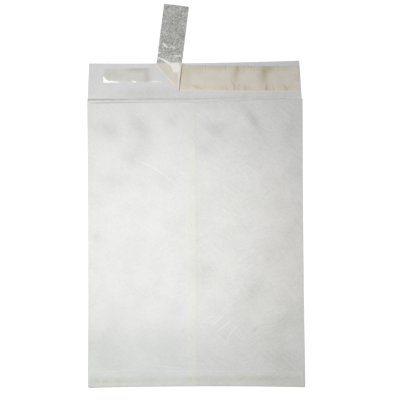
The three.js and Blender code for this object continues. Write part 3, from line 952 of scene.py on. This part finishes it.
sheetMaterial = makeSpunSheet()
glueMaterial = makeHotMelt()
gumMaterial = makeFlapGum()
linerMaterial = makeLinerPaper()
print("materials made")

# Envelope sheet
sheetDetail = {
    "columnStep": 2.3,
    "armStep": 2.0,
    "rowStep": 1.85,
    "foldSteps": 8,
    "foldShade": (8, 15),       # how far above the bottom fold the flap is duller, as painted shade
    "foldDull": 0.5,
    "farFromEdge": 9,
    "backEdgeLight": 0.6,       # the back's free edges are as light as if this far in
}


def buildSheet():
    detail = sheetDetail
    low, high = hiddenEdge - shape["edgeClearance"], shape["seamFreeEdge"] + shape["edgeClearance"]
    special = np.array([-panelHalf + shape["leftThroatRun"], panelHalf - shape["rightThroatRun"], hiddenEdge,
                        shape["seamFreeEdge"], low, high, low - shape["seamRamp"], high + shape["seamRamp"]])
    centre = merged(spaced(-panelHalf, panelHalf, detail["columnStep"]), special)
    bends = spaced(0, foldLength, foldLength / detail["foldSteps"])[1:]

    def arm(side, freeEdge):
        xs = merged(spaced(freeEdge, side * panelHalf, detail["armStep"]), special)
        xs = xs[(side * xs < panelHalf - 0.01) & (side * xs >= side * freeEdge - 0.01)]
        return np.concatenate([side * (panelHalf + bends), side * (2 * panelHalf + foldLength - side * xs)])

    columns = np.sort(np.concatenate([arm(-1, shape["seamFreeEdge"]), centre, arm(1, hiddenEdge)]))

    bottomBends = spaced(0, bottomFoldLength, bottomFoldLength / detail["foldSteps"])[1:]
    bottomRows = merged(spaced(panelBottom, bottomFlapTop, detail["rowStep"]),
                        [panelBottom + shape["drape"] / 2, panelBottom + shape["drape"]])
    distances = np.concatenate([bottomBends, bottomFoldLength + bottomRows[1:] - panelBottom])
    body = merged(bottomRows, spaced(bottomFlapTop, scoreY - shape["scoreWidth"], detail["rowStep"]),
                  [scoreY - shape["scoreWidth"] / 2, scoreY])
    seal = merged([shape["scoreWidth"] / 2, shape["shoulderHeight"]],
                  spaced(0, shape["flapLeft"], detail["rowStep"]))[1:] / shape["flapLeft"]
    rows = np.concatenate([panelBottom - distances[::-1], body, np.full(len(seal), scoreY)])
    sealShare = np.concatenate([np.zeros(len(distances) + len(body)), seal])
    isBody = (np.arange(len(rows)) >= len(distances)) & (np.arange(len(rows)) < len(distances) + len(body))

    u, v = np.meshgrid(columns, rows, indexing="ij")
    v = v + sealShare * flapHeight(u)
    armX = np.sign(u) * (panelHalf - np.maximum(np.abs(u) - panelHalf - foldLength, 0))
    v = v - np.where(np.abs(u) > panelHalf,
                     throatFall(armX) * smooth(v, scoreY - shape["throatBlend"], scoreY), 0)

    middle = (columns[1:] + columns[:-1]) / 2
    cells = (np.abs(middle) < panelHalf)[:, None] | (isBody[1:] & isBody[:-1])[None, :]

    centrePoint = foldedSheet(u, v)
    limits = np.where(isBody, np.inf, panelHalf)[None, :] * np.ones_like(u)
    normal = normalsOf(foldedSheet, u, v, limits)
    half = shape["sheet"] / 2
    scored = isBody[None, :] & (np.abs(v - scoreY) < 0.01) & (np.abs(u) < panelHalf)
    upper = centrePoint + normal * (half - np.where(scored, shape["scoreDepth"], 0))[..., None]
    lower = centrePoint - normal * half

    # The bottom flap's two ends lean in towards its free edge
    reach = np.maximum(panelBottom - v - bottomFoldLength, 0) / (bottomFlapTop - panelBottom)
    lean = np.where(u < 0, shape["bottomInsetLeft"], -shape["bottomInsetRight"]) * reach
    lean = np.where((np.abs(u) >= panelHalf - 0.01) & (np.abs(u) <= panelHalf + 0.01), lean, 0)
    upper[..., 0] += lean
    lower[..., 0] += lean

    x, y = centrePoint[..., 0], centrePoint[..., 1]
    onArm = np.abs(u) > panelHalf + 0.01
    onBottom = v < panelBottom - 0.01
    onBack = onArm | onBottom
    freeEdge = np.where(u < 0, shape["seamFreeEdge"] - armX, armX - hiddenEdge)
    flapEdge = np.minimum(v - rows[0], np.where(reach > 0, panelHalf - np.abs(u), detail["farFromEdge"]))
    backEdge = np.where(onArm, freeEdge + detail["backEdgeLight"], detail["farFromEdge"])
    # The dull field is painted shade at the dents, the flap's patches and above the bottom fold
    dull = np.where(onBack, spotSum(x, y, dents, "dull"), spotSum(x, y, flapPaintedShade, "dull"))
    dull = dull + detail["foldDull"] * onBottom * (1 - smooth(y - bottomY, *detail["foldShade"]))
    fields = {
        "backGive": np.where(onBack, backGive(x, y), 0),
        "flapGive": np.where(~onArm, flapGive(y), 0),
        "blankPlace": np.stack([u, v, np.zeros_like(u)], -1),
        "layers": np.where(onBottom, 3.0, np.where(~onArm & (y > scoreY - shape["throatDrop"]), 1.0, 2.0)),
        "dull": dull,
        "edgeDistance": np.where(onBottom, flapEdge, backEdge),
    }
    piece = sheetMesh("folded_sheet", upper, lower, cells, fields)
    applyRelief(piece, sheetCreases, sheetMaterial)
    attach(piece, "envelope_sheet")
    print("sheet built,", len(piece.data.polygons), "faces")


# A thin layer between or on the sheet's layers, following level(x, y).
def buildLayer(name, node, material, xs, ys, level, thickness, fieldsAt):
    x, y = np.meshgrid(xs, ys, indexing="ij")
    z = level(x, y)
    cells = np.ones((len(xs) - 1, len(ys) - 1), bool)
    piece = sheetMesh(name, place(x, y, z + thickness / 2), place(x, y, z - thickness / 2), cells,
                      fieldsAt(x, y))
    applyRelief(piece, sheetCreases, material)
    attach(piece, node)


glueBead = {"step": 2.4, "endShy": 2}


def buildGlue():
    step = glueBead["step"]
    ys = spaced(panelBottom + glueBead["endShy"], scoreY - shape["throatDrop"] - glueBead["endShy"], step)
    buildLayer("seam_bead", "seam_glue", glueMaterial,
               np.linspace(seamLow[0], seamHigh[0], 5), ys,
               lambda x, y: backLevel(x, y) + layerPitch / 2, shape["glue"],
               lambda x, y: {"backGive": backGive(x, y)})
    buildLayer("bottom_bead", "bottom_glue", glueMaterial,
               spaced(bottomLow[0], bottomHigh[0], step), np.linspace(bottomLow[1], bottomHigh[1], 4),
               lambda x, y: backLevel(x, y) + layerPitch * (overlapShare(x) + 0.5), shape["glue"],
               lambda x, y: {"backGive": backGive(x, y)})
    print("glue built")


gumDetail = {"columnStep": 0.8, "rowStep": 0.6}

# Painted highlights: white gleams along the adhesive's lower edge
paintedGumGleams = named(
    "from to half bright",
    ((-97.2, 176.8), (-95.6, 173.4), (0.9, 2.2)),
    ((-95.8, 173.2), (-91.5, 171.8), (2.2, 1.0)),
    ((-96.8, 171.7), (-88.0, 171.7), (1.3, 1.1)),
    ((-88.0, 171.7), (-81.0, 171.2), (1.1, 0.6)),
    ((-65.0, 171.7), (-63.0, 171.2), (1.0, 1.0)),
    ((-67.4, 173.2), (-65.4, 172.0), (1.0, 1.0), 0.3),
    ((-81.0, 171.2), (-46.0, 171.2), (0.7, 0.7), 0.2),
    ((-45.8, 171.2), (-43.4, 171.8), (0.8, 1.0), 0.6),
    ((-43.4, 171.8), (-36.6, 171.2), (1.0, 0.7), 0.5),
)


def buildGum():
    level = shape["sheet"] + shape["clearance"] + shape["glue"] / 2
    buildLayer("adhesive_band", "flap_adhesive", gumMaterial,
               spaced(gumLow[0], gumHigh[0], gumDetail["columnStep"]),
               spaced(gumLow[1], gumHigh[1], gumDetail["rowStep"]),
               lambda x, y: np.full_like(x, level), shape["glue"],
               lambda x, y: {"flapGive": flapGive(y), "gleam": strokeMarks(x, y, paintedGumGleams)})
    print("adhesive built")


# Release liner: a strip that turns over on a slanted fold line, so that its tail points up.
liner = {
    "thickness": 0.1,
    "width": 26.8,
    "length": 218.2,
    "tilt": 0.7,                # degrees clockwise, about the foot of the fold
    "foldRun": 126.3,
    "foldAngle": 48.3,
    "foldRadius": 0.6,
    "spring": 2.8,
    "springReach": 24,
    "tipHeight": 0.5,
    "step": 0.62,
    "puckerHeight": 0.16,
    "puckerPitch": 3.2,
    "puckerReach": 4.2,
    "puckerStart": (6, 30),     # mm from its right end
    "puckerEnd": (104, 118),
    "finePucker": 0.12,
    "frillBrown": 0.6,          # how strongly each of its marks shows
    "foldBrown": 0.36,
    "tailBrown": 0.12,
    # The rim, edge and glare lights are painted highlights
    "rimLight": 0.8,
    "edgeLight": 0.55,
    "glareLight": 0.85,
}

# Where the strip still holds on the adhesive it looks browner: wedges from its upper edge down,
# spots near its lower edge; place, half length and half width, turn in degrees, how brown
linerStains = named(
    "at reach turn brown",
    ((45.0, 184), (9, 3.2), 82, 0.75),
    ((41.5, 172), (8, 4.5), 100, 0.3),
    ((51.5, 186), (5, 2.5), 70, 0.3),
    ((74.5, 183), (10, 4.6), 84, 0.85),
    ((80.5, 185), (5, 3.0), 105, 0.45),
    ((72.0, 171), (9, 6.0), 95, 0.3),
    ((95.0, 186), (5, 7.0), 90, 0.3),
    ((90.0, 166), (5, 6.0), 90, 0.22),
    ((60.0, 187), (3, 9.0), 90, 0.35),
    ((25.0, 187), (3.5, 14.0), 90, 0.35),
    ((1.0, 186), (5, 9.0), 90, 0.28),
    ((-8.0, 176), (12, 4.0), 90, 0.3),
    ((30.0, 164), (3, 10.0), 90, 0.25),
    ((56.0, 163.5), (3, 7.0), 90, 0.25),
    ((5.0, 164.5), (3, 9.0), 90, 0.2),
    ((77.5, 163.5), (3.5, 3.5), 90, 0.4),
    ((98.0, 164), (3, 5.0), 90, 0.3),
)

# Small creases in the strip, as in the sheet
linerCreases = named(
    "from to bow reach rise",
    ((-4.3, 167.2), (3.6, 162.8), 0.8, 1.5, 0.3),
    ((-1.2, 168.0), (7.2, 162.9), 0.9, 1.4, -0.25),
    ((38.6, 164.0), (44.5, 172.0), -0.7, 2.0, 0.3),
    ((43.5, 163.5), (48.4, 170.5), 0.6, 1.6, -0.25),
    ((30.0, 163.0), (35.0, 168.5), 0.5, 1.6, 0.2),
    ((42.8, 184.5), (44.6, 174.0), 0.5, 3.0, -0.35),
    ((75.5, 186.5), (77.0, 174.0), -0.6, 3.6, -0.4),
    ((82.0, 186.5), (82.8, 180.0), 0.4, 2.0, 0.25),
    ((56.0, 186.8), (56.6, 182.5), 0.2, 1.6, 0.25),
    ((103.0, 178.2), (109.4, 173.6), 0.5, 1.4, 0.28),
    ((104.5, 180.4), (110.0, 176.8), 0.4, 1.2, 0.24),
    ((106.0, 174.6), (109.8, 171.2), 0.4, 1.2, 0.2),
    ((63.0, 161.5), (64.5, 167.0), 0.3, 1.6, 0.2),
    ((85.5, 161.5), (84.5, 168.0), 0.3, 1.6, -0.22),
)

# Light scuffs on the peeled tail, whitened creases with painted glints: a long crease, short streaks, a
# small loop, two specks
tailScuffsAndGlints = named(
    "from to half bright",
    ((-39.8, 197.7), (-33.6, 194.7), (0.7, 1.1)),
    ((-33.6, 194.7), (-27.6, 191.0), (1.1, 1.4)),
    ((-33.4, 212.0), (-31.4, 209.8), (1.0, 1.4)),
    ((-31.4, 209.8), (-28.2, 207.2), (1.1, 0.6)),
    ((-26.8, 206.8), (-24.8, 208.2), (0.8, 0.8), 0.8),
    ((-24.8, 208.2), (-22.2, 208.2), (0.8, 0.8), 0.6),
    ((-22.2, 208.2), (-21.0, 206.6), (0.8, 0.9), 0.8),
    ((-21.0, 206.6), (-23.4, 205.6), (0.9, 0.7), 0.5),
    ((-39.4, 202.2), (-36.2, 202.7), (1.1, 1.0), 0.8),
    ((-21.4, 198.6), (-19.2, 198.4), (0.9, 1.0), 0.8),
    ((-17.9, 198.3), (-14.9, 198.3), (0.8, 0.9), 0.8),
    ((-30.9, 236.0), (-29.7, 235.6), (0.9, 0.9), 0.7),
    ((-12.9, 244.0), (-11.6, 244.8), (1.0, 0.8), 0.7),
)

# Dark creases that run up from the strip's lower edge
linerFolds = named(
    "from to half",
    ((34.0, 162.2), (33.2, 166.5), (1.3, 0.6)),
    ((42.6, 162.4), (41.4, 168.0), (1.7, 1.2)),
    ((41.4, 168.0), (38.4, 172.5), (1.2, 0.7)),
    ((46.4, 162.4), (47.2, 168.5), (1.4, 0.8)),
    ((53.8, 162.4), (53.0, 168.5), (1.6, 0.7)),
    ((75.6, 162.4), (76.6, 169.0), (1.8, 0.9)),
    ((84.0, 162.4), (82.4, 168.5), (1.6, 0.7)),
    ((97.5, 162.4), (94.0, 168.0), (1.7, 0.8)),
    ((-3.2, 168.4), (2.6, 163.8), (0.8, 1.0)),
    ((0.4, 168.0), (7.0, 163.4), (0.7, 1.1)),
    ((105.6, 178.4), (109.6, 175.0), (0.7, 0.9)),
    ((105.0, 175.2), (108.8, 172.0), (0.6, 0.8)),
)

# The dotted painted highlight down the tail's right edge, and the painted shadow of the gap beside it
tailRim = {"from": (-16.2, 190.0), "to": (-17.6, 164.0), "half": (0.75, 0.75), "dots": 2.3}
gapShadow = {"from": (-14.2, 190.6), "to": (-16.6, 161.9), "half": (1.4, 0.5)}

# Where the lamp glares on the tail
tailGlare = {"low": 181.2, "high": 191.4, "leftLow": -23.2, "leftHigh": -27.6, "right": -16.9,
             "soft": 0.5}


def tailSlant():
    skew = 1 / math.tan(math.radians(liner["foldAngle"]))
    along = np.array([-skew, 1]) / math.hypot(skew, 1)
    return skew, along, np.array([-along[1], along[0]])


# a runs from the strip's right end, b from its lower edge; gives the place and how far into the fold.
def linerPlace(a, b):
    _, along, across = tailSlant()
    tilt = math.radians(liner["tilt"])
    footX = linerHigh[0] - liner["foldRun"] * math.cos(tilt) - liner["width"] * math.sin(tilt)
    footY = linerLow[1] + liner["foldRun"] * math.sin(tilt)
    flat = np.stack([liner["foldRun"] - a, b], -1)
    s, t = flat @ along, flat @ across
    radius = liner["foldRadius"]
    turn = np.clip(t / radius, 0, math.pi)
    beyond = np.maximum(t - math.pi * radius, 0)
    reach = np.minimum(t, 0) + radius * np.sin(turn) - beyond
    plan = s[..., None] * along + reach[..., None] * across
    x = footX + plan[..., 0] * math.cos(tilt) + plan[..., 1] * math.sin(tilt)
    y = footY - plan[..., 0] * math.sin(tilt) + plan[..., 1] * math.cos(tilt)
    level = shape["sheet"] + shape["glue"] + 2 * shape["clearance"] + liner["thickness"] / 2
    sprung = level + radius * (1 - np.cos(turn)) + liner["spring"] * smooth(beyond, 0, liner["springReach"])
    tail = liner["length"] - liner["foldRun"]
    tipY = footY + tail * math.sin(math.radians(2 * liner["foldAngle"] + liner["tilt"]))
    down = np.where(beyond > 0, smooth(y, flapTopRight, tipY), 0)
    return np.stack([x, y, mix(sprung, liner["tipHeight"], down)], -1), t


def linerSurface(a, b):
    return linerPlace(a, b)[0]


def buildLiner():
    skew, _, _ = tailSlant()
    arc = math.pi * liner["foldRadius"] / math.sin(math.radians(liner["foldAngle"]))
    foldEnd = liner["foldRun"] + arc
    skewEnd = foldEnd + liner["width"]
    columns = merged(spaced(0, liner["foldRun"], liner["step"]),
                     spaced(liner["foldRun"], foldEnd, arc / 10),
                     spaced(foldEnd, liner["length"], liner["step"]))
    rows = spaced(0, liner["width"], liner["step"])
    a, b = np.meshgrid(columns, rows, indexing="ij")
    leanOut = 1 - smooth(a, skewEnd, liner["length"])
    a = a + b * skew * np.where(a < foldEnd, smooth(a, 0, liner["foldRun"] / 2), leanOut)
    middle, intoFold = linerPlace(a, b)
    x, y = middle[..., 0], middle[..., 1]
    foldOver = math.pi * liner["foldRadius"]
    folded = smooth(intoFold, foldOver, foldOver + 1)

    # Puckers: a fine frill along the upper edge of the part that is still stuck
    fromTop = liner["width"] - b
    wander = 1.3 * np.sin(a / 5.3) + 0.9 * np.sin(a / 2.9 + 1)
    uneven = 0.65 + 0.35 * np.sin(a / 4.1 + 2)
    frill = uneven * np.sin(2 * math.pi * (a + wander) / liner["puckerPitch"])
    frill = frill * np.exp(-fromTop / (liner["puckerReach"] * uneven))
    frill = frill * smooth(a, *liner["puckerStart"]) * (1 - smooth(a, *liner["puckerEnd"]))
    normal = normalsOf(linerSurface, a, b)
    middle[..., 2] += liner["puckerHeight"] * (1 + frill) * (1 - folded) * (a < liner["foldRun"])
    half = liner["thickness"] / 2
    cells = np.ones((len(columns) - 1, len(rows) - 1), bool)

    stuck = spotSum(x, y, linerStains, "brown") + liner["frillBrown"] * np.maximum(-frill, 0)
    stuck = stuck + liner["foldBrown"] * strokeMarks(x, y, linerFolds)
    # Painted highlights: a light line along the lower edge and along the fold
    onFold = np.exp(-((intoFold - foldOver / 2) / 0.8) ** 2)
    edgeLight = np.maximum((1 - smooth(b, 0.1, 0.9)) * (intoFold < 0), onFold)
    rimDots = 0.65 + 0.35 * np.sin(2 * math.pi * y / tailRim["dots"])
    rim = strokeMarks(x, y, [tailRim]) * rimDots
    tailMarks = folded * np.maximum(strokeMarks(x, y, tailScuffsAndGlints), liner["rimLight"] * rim)
    glareLeft = mix(tailGlare["leftLow"], tailGlare["leftHigh"],
                    smooth(y, tailGlare["low"], tailGlare["high"]) ** 1.6)
    soft, right = tailGlare["soft"], tailGlare["right"]
    glare = smooth(x, glareLeft - soft, glareLeft + soft) * smooth(-x, -right - soft, -right + soft)
    glare = glare * smooth(y, tailGlare["low"] - soft, tailGlare["low"] + soft)
    glare = glare * (1 - smooth(y, tailGlare["high"] - soft, tailGlare["high"] + soft))
    fields = {
        "flapGive": flapGive(middle[..., 1]),
        "puckerGive": 1 - folded,
        "stuck": np.where(folded > 0, liner["tailBrown"], stuck),
        "scuff": np.maximum(tailMarks, liner["edgeLight"] * edgeLight),
        "glare": folded * glare * liner["glareLight"],
        "shadow": (1 - folded) * strokeMarks(x, y, [gapShadow]),
    }
    piece = sheetMesh("peeled_liner", middle + normal * half, middle - normal * half, cells, fields)
    linerLines = creaseLines("linerCreases", linerCreases)
    applyRelief(piece, linerLines, linerMaterial, {"Pucker Height": liner["finePucker"] * mm})
    bpy.data.objects.remove(linerLines)
    attach(piece, "release_liner")
    print("liner built,", len(piece.data.polygons), "faces")


buildSheet()
buildGlue()
buildGum()
buildLiner()
bpy.data.objects.remove(sheetCreases)

# Camera almost straight above, a little turned; the width is the picture's at the table
view = {"place": (4.42, -1.02, 1200), "turn": (2.219, 0, -0.349), "width": 423.45, "sensor": 36}
cameraData = bpy.data.cameras.new("camera")
cameraData.sensor_width = view["sensor"]
cameraData.lens = view["sensor"] * view["place"][2] / view["width"]
camera = bpy.data.objects.new("camera", cameraData)
camera.location = [value * mm for value in view["place"]]
camera.rotation_euler = Euler([math.radians(value) for value in view["turn"]])
bpy.context.scene.collection.objects.link(camera)
bpy.context.scene.camera = camera

# Soft studio light: an even sky and one low lamp above the left of the envelope
light = {
    "sky": 0.405,
    "skyColour": "#FFFFFF",
    "backdrop": "#FFFFFF",      # what the camera sees of the sky
    "watts": 0.515,
    "size": 0.3,
    "place": (-0.076, 0.0, 0.25),
    "aim": (-0.108, -0.038, 0.0),
}
world = bpy.data.worlds.new("evenSky")
bpy.context.scene.world = world
world.use_nodes = True
tree = world.node_tree
tree.nodes.clear()
sky = addNode(tree, "ShaderNodeBackground", {"Color": light["skyColour"], "Strength": light["sky"]})
backdrop = addNode(tree, "ShaderNodeBackground", {"Color": light["backdrop"], "Strength": 1.0})
rays = addNode(tree, "ShaderNodeLightPath").outputs
shaders = {0: rays["Is Camera Ray"], 1: sky.outputs[0], 2: backdrop.outputs[0]}
seen = addNode(tree, "ShaderNodeMixShader", shaders)
addNode(tree, "ShaderNodeOutputWorld", {0: seen.outputs[0]})

lampData = bpy.data.lights.new("softBox", "AREA")
lampData.shape = "SQUARE"
lampData.size = light["size"]
lampData.energy = light["watts"]
lamp = bpy.data.objects.new("softBox", lampData)
lamp.location = light["place"]
lamp.rotation_euler = (Vector(light["aim"]) - Vector(light["place"])).to_track_quat("-Z", "Y").to_euler()
lamp.visible_camera = False
bpy.context.scene.collection.objects.link(lamp)

# White table that keeps a faint shadow
floor = {
    "reach": 3.0,               # metres
    "colour": "#E6E6E6",
    "glowColour": "#FFFFFF",
    "glow": 1.14,
    "own": 0.12,                # share of its own lit colour that the camera sees
}
floorMesh = bpy.data.meshes.new("table")
edge = floor["reach"]
corners = [(-edge, -edge, 0), (edge, -edge, 0), (edge, edge, 0), (-edge, edge, 0)]
floorMesh.from_pydata(corners, [], [(0, 1, 2, 3)])
table = bpy.data.objects.new("table", floorMesh)
bpy.context.scene.collection.objects.link(table)
tableMaterial = bpy.data.materials.new("whiteTable")
tableMaterial.use_nodes = True
tree = tableMaterial.node_tree
tree.nodes.clear()
matt = addNode(tree, "ShaderNodeBsdfDiffuse", {"Color": floor["colour"]})
glow = addNode(tree, "ShaderNodeEmission", {"Color": floor["glowColour"], "Strength": floor["glow"]})
rays = addNode(tree, "ShaderNodeLightPath").outputs
mirrored = calc(tree, "MAXIMUM", rays["Is Glossy Ray"], rays["Is Transmission Ray"])
direct = calc(tree, "MAXIMUM", rays["Is Camera Ray"], mirrored)
share = calc(tree, "MULTIPLY", direct, 1 - floor["own"])
seen = addNode(tree, "ShaderNodeMixShader", {0: share, 1: matt.outputs[0], 2: glow.outputs[0]})
addNode(tree, "ShaderNodeOutputMaterial", {0: seen.outputs[0]})
floorMesh.materials.append(tableMaterial)

bpy.context.scene.view_settings.view_transform = "Standard"
print("camera, light and table set")
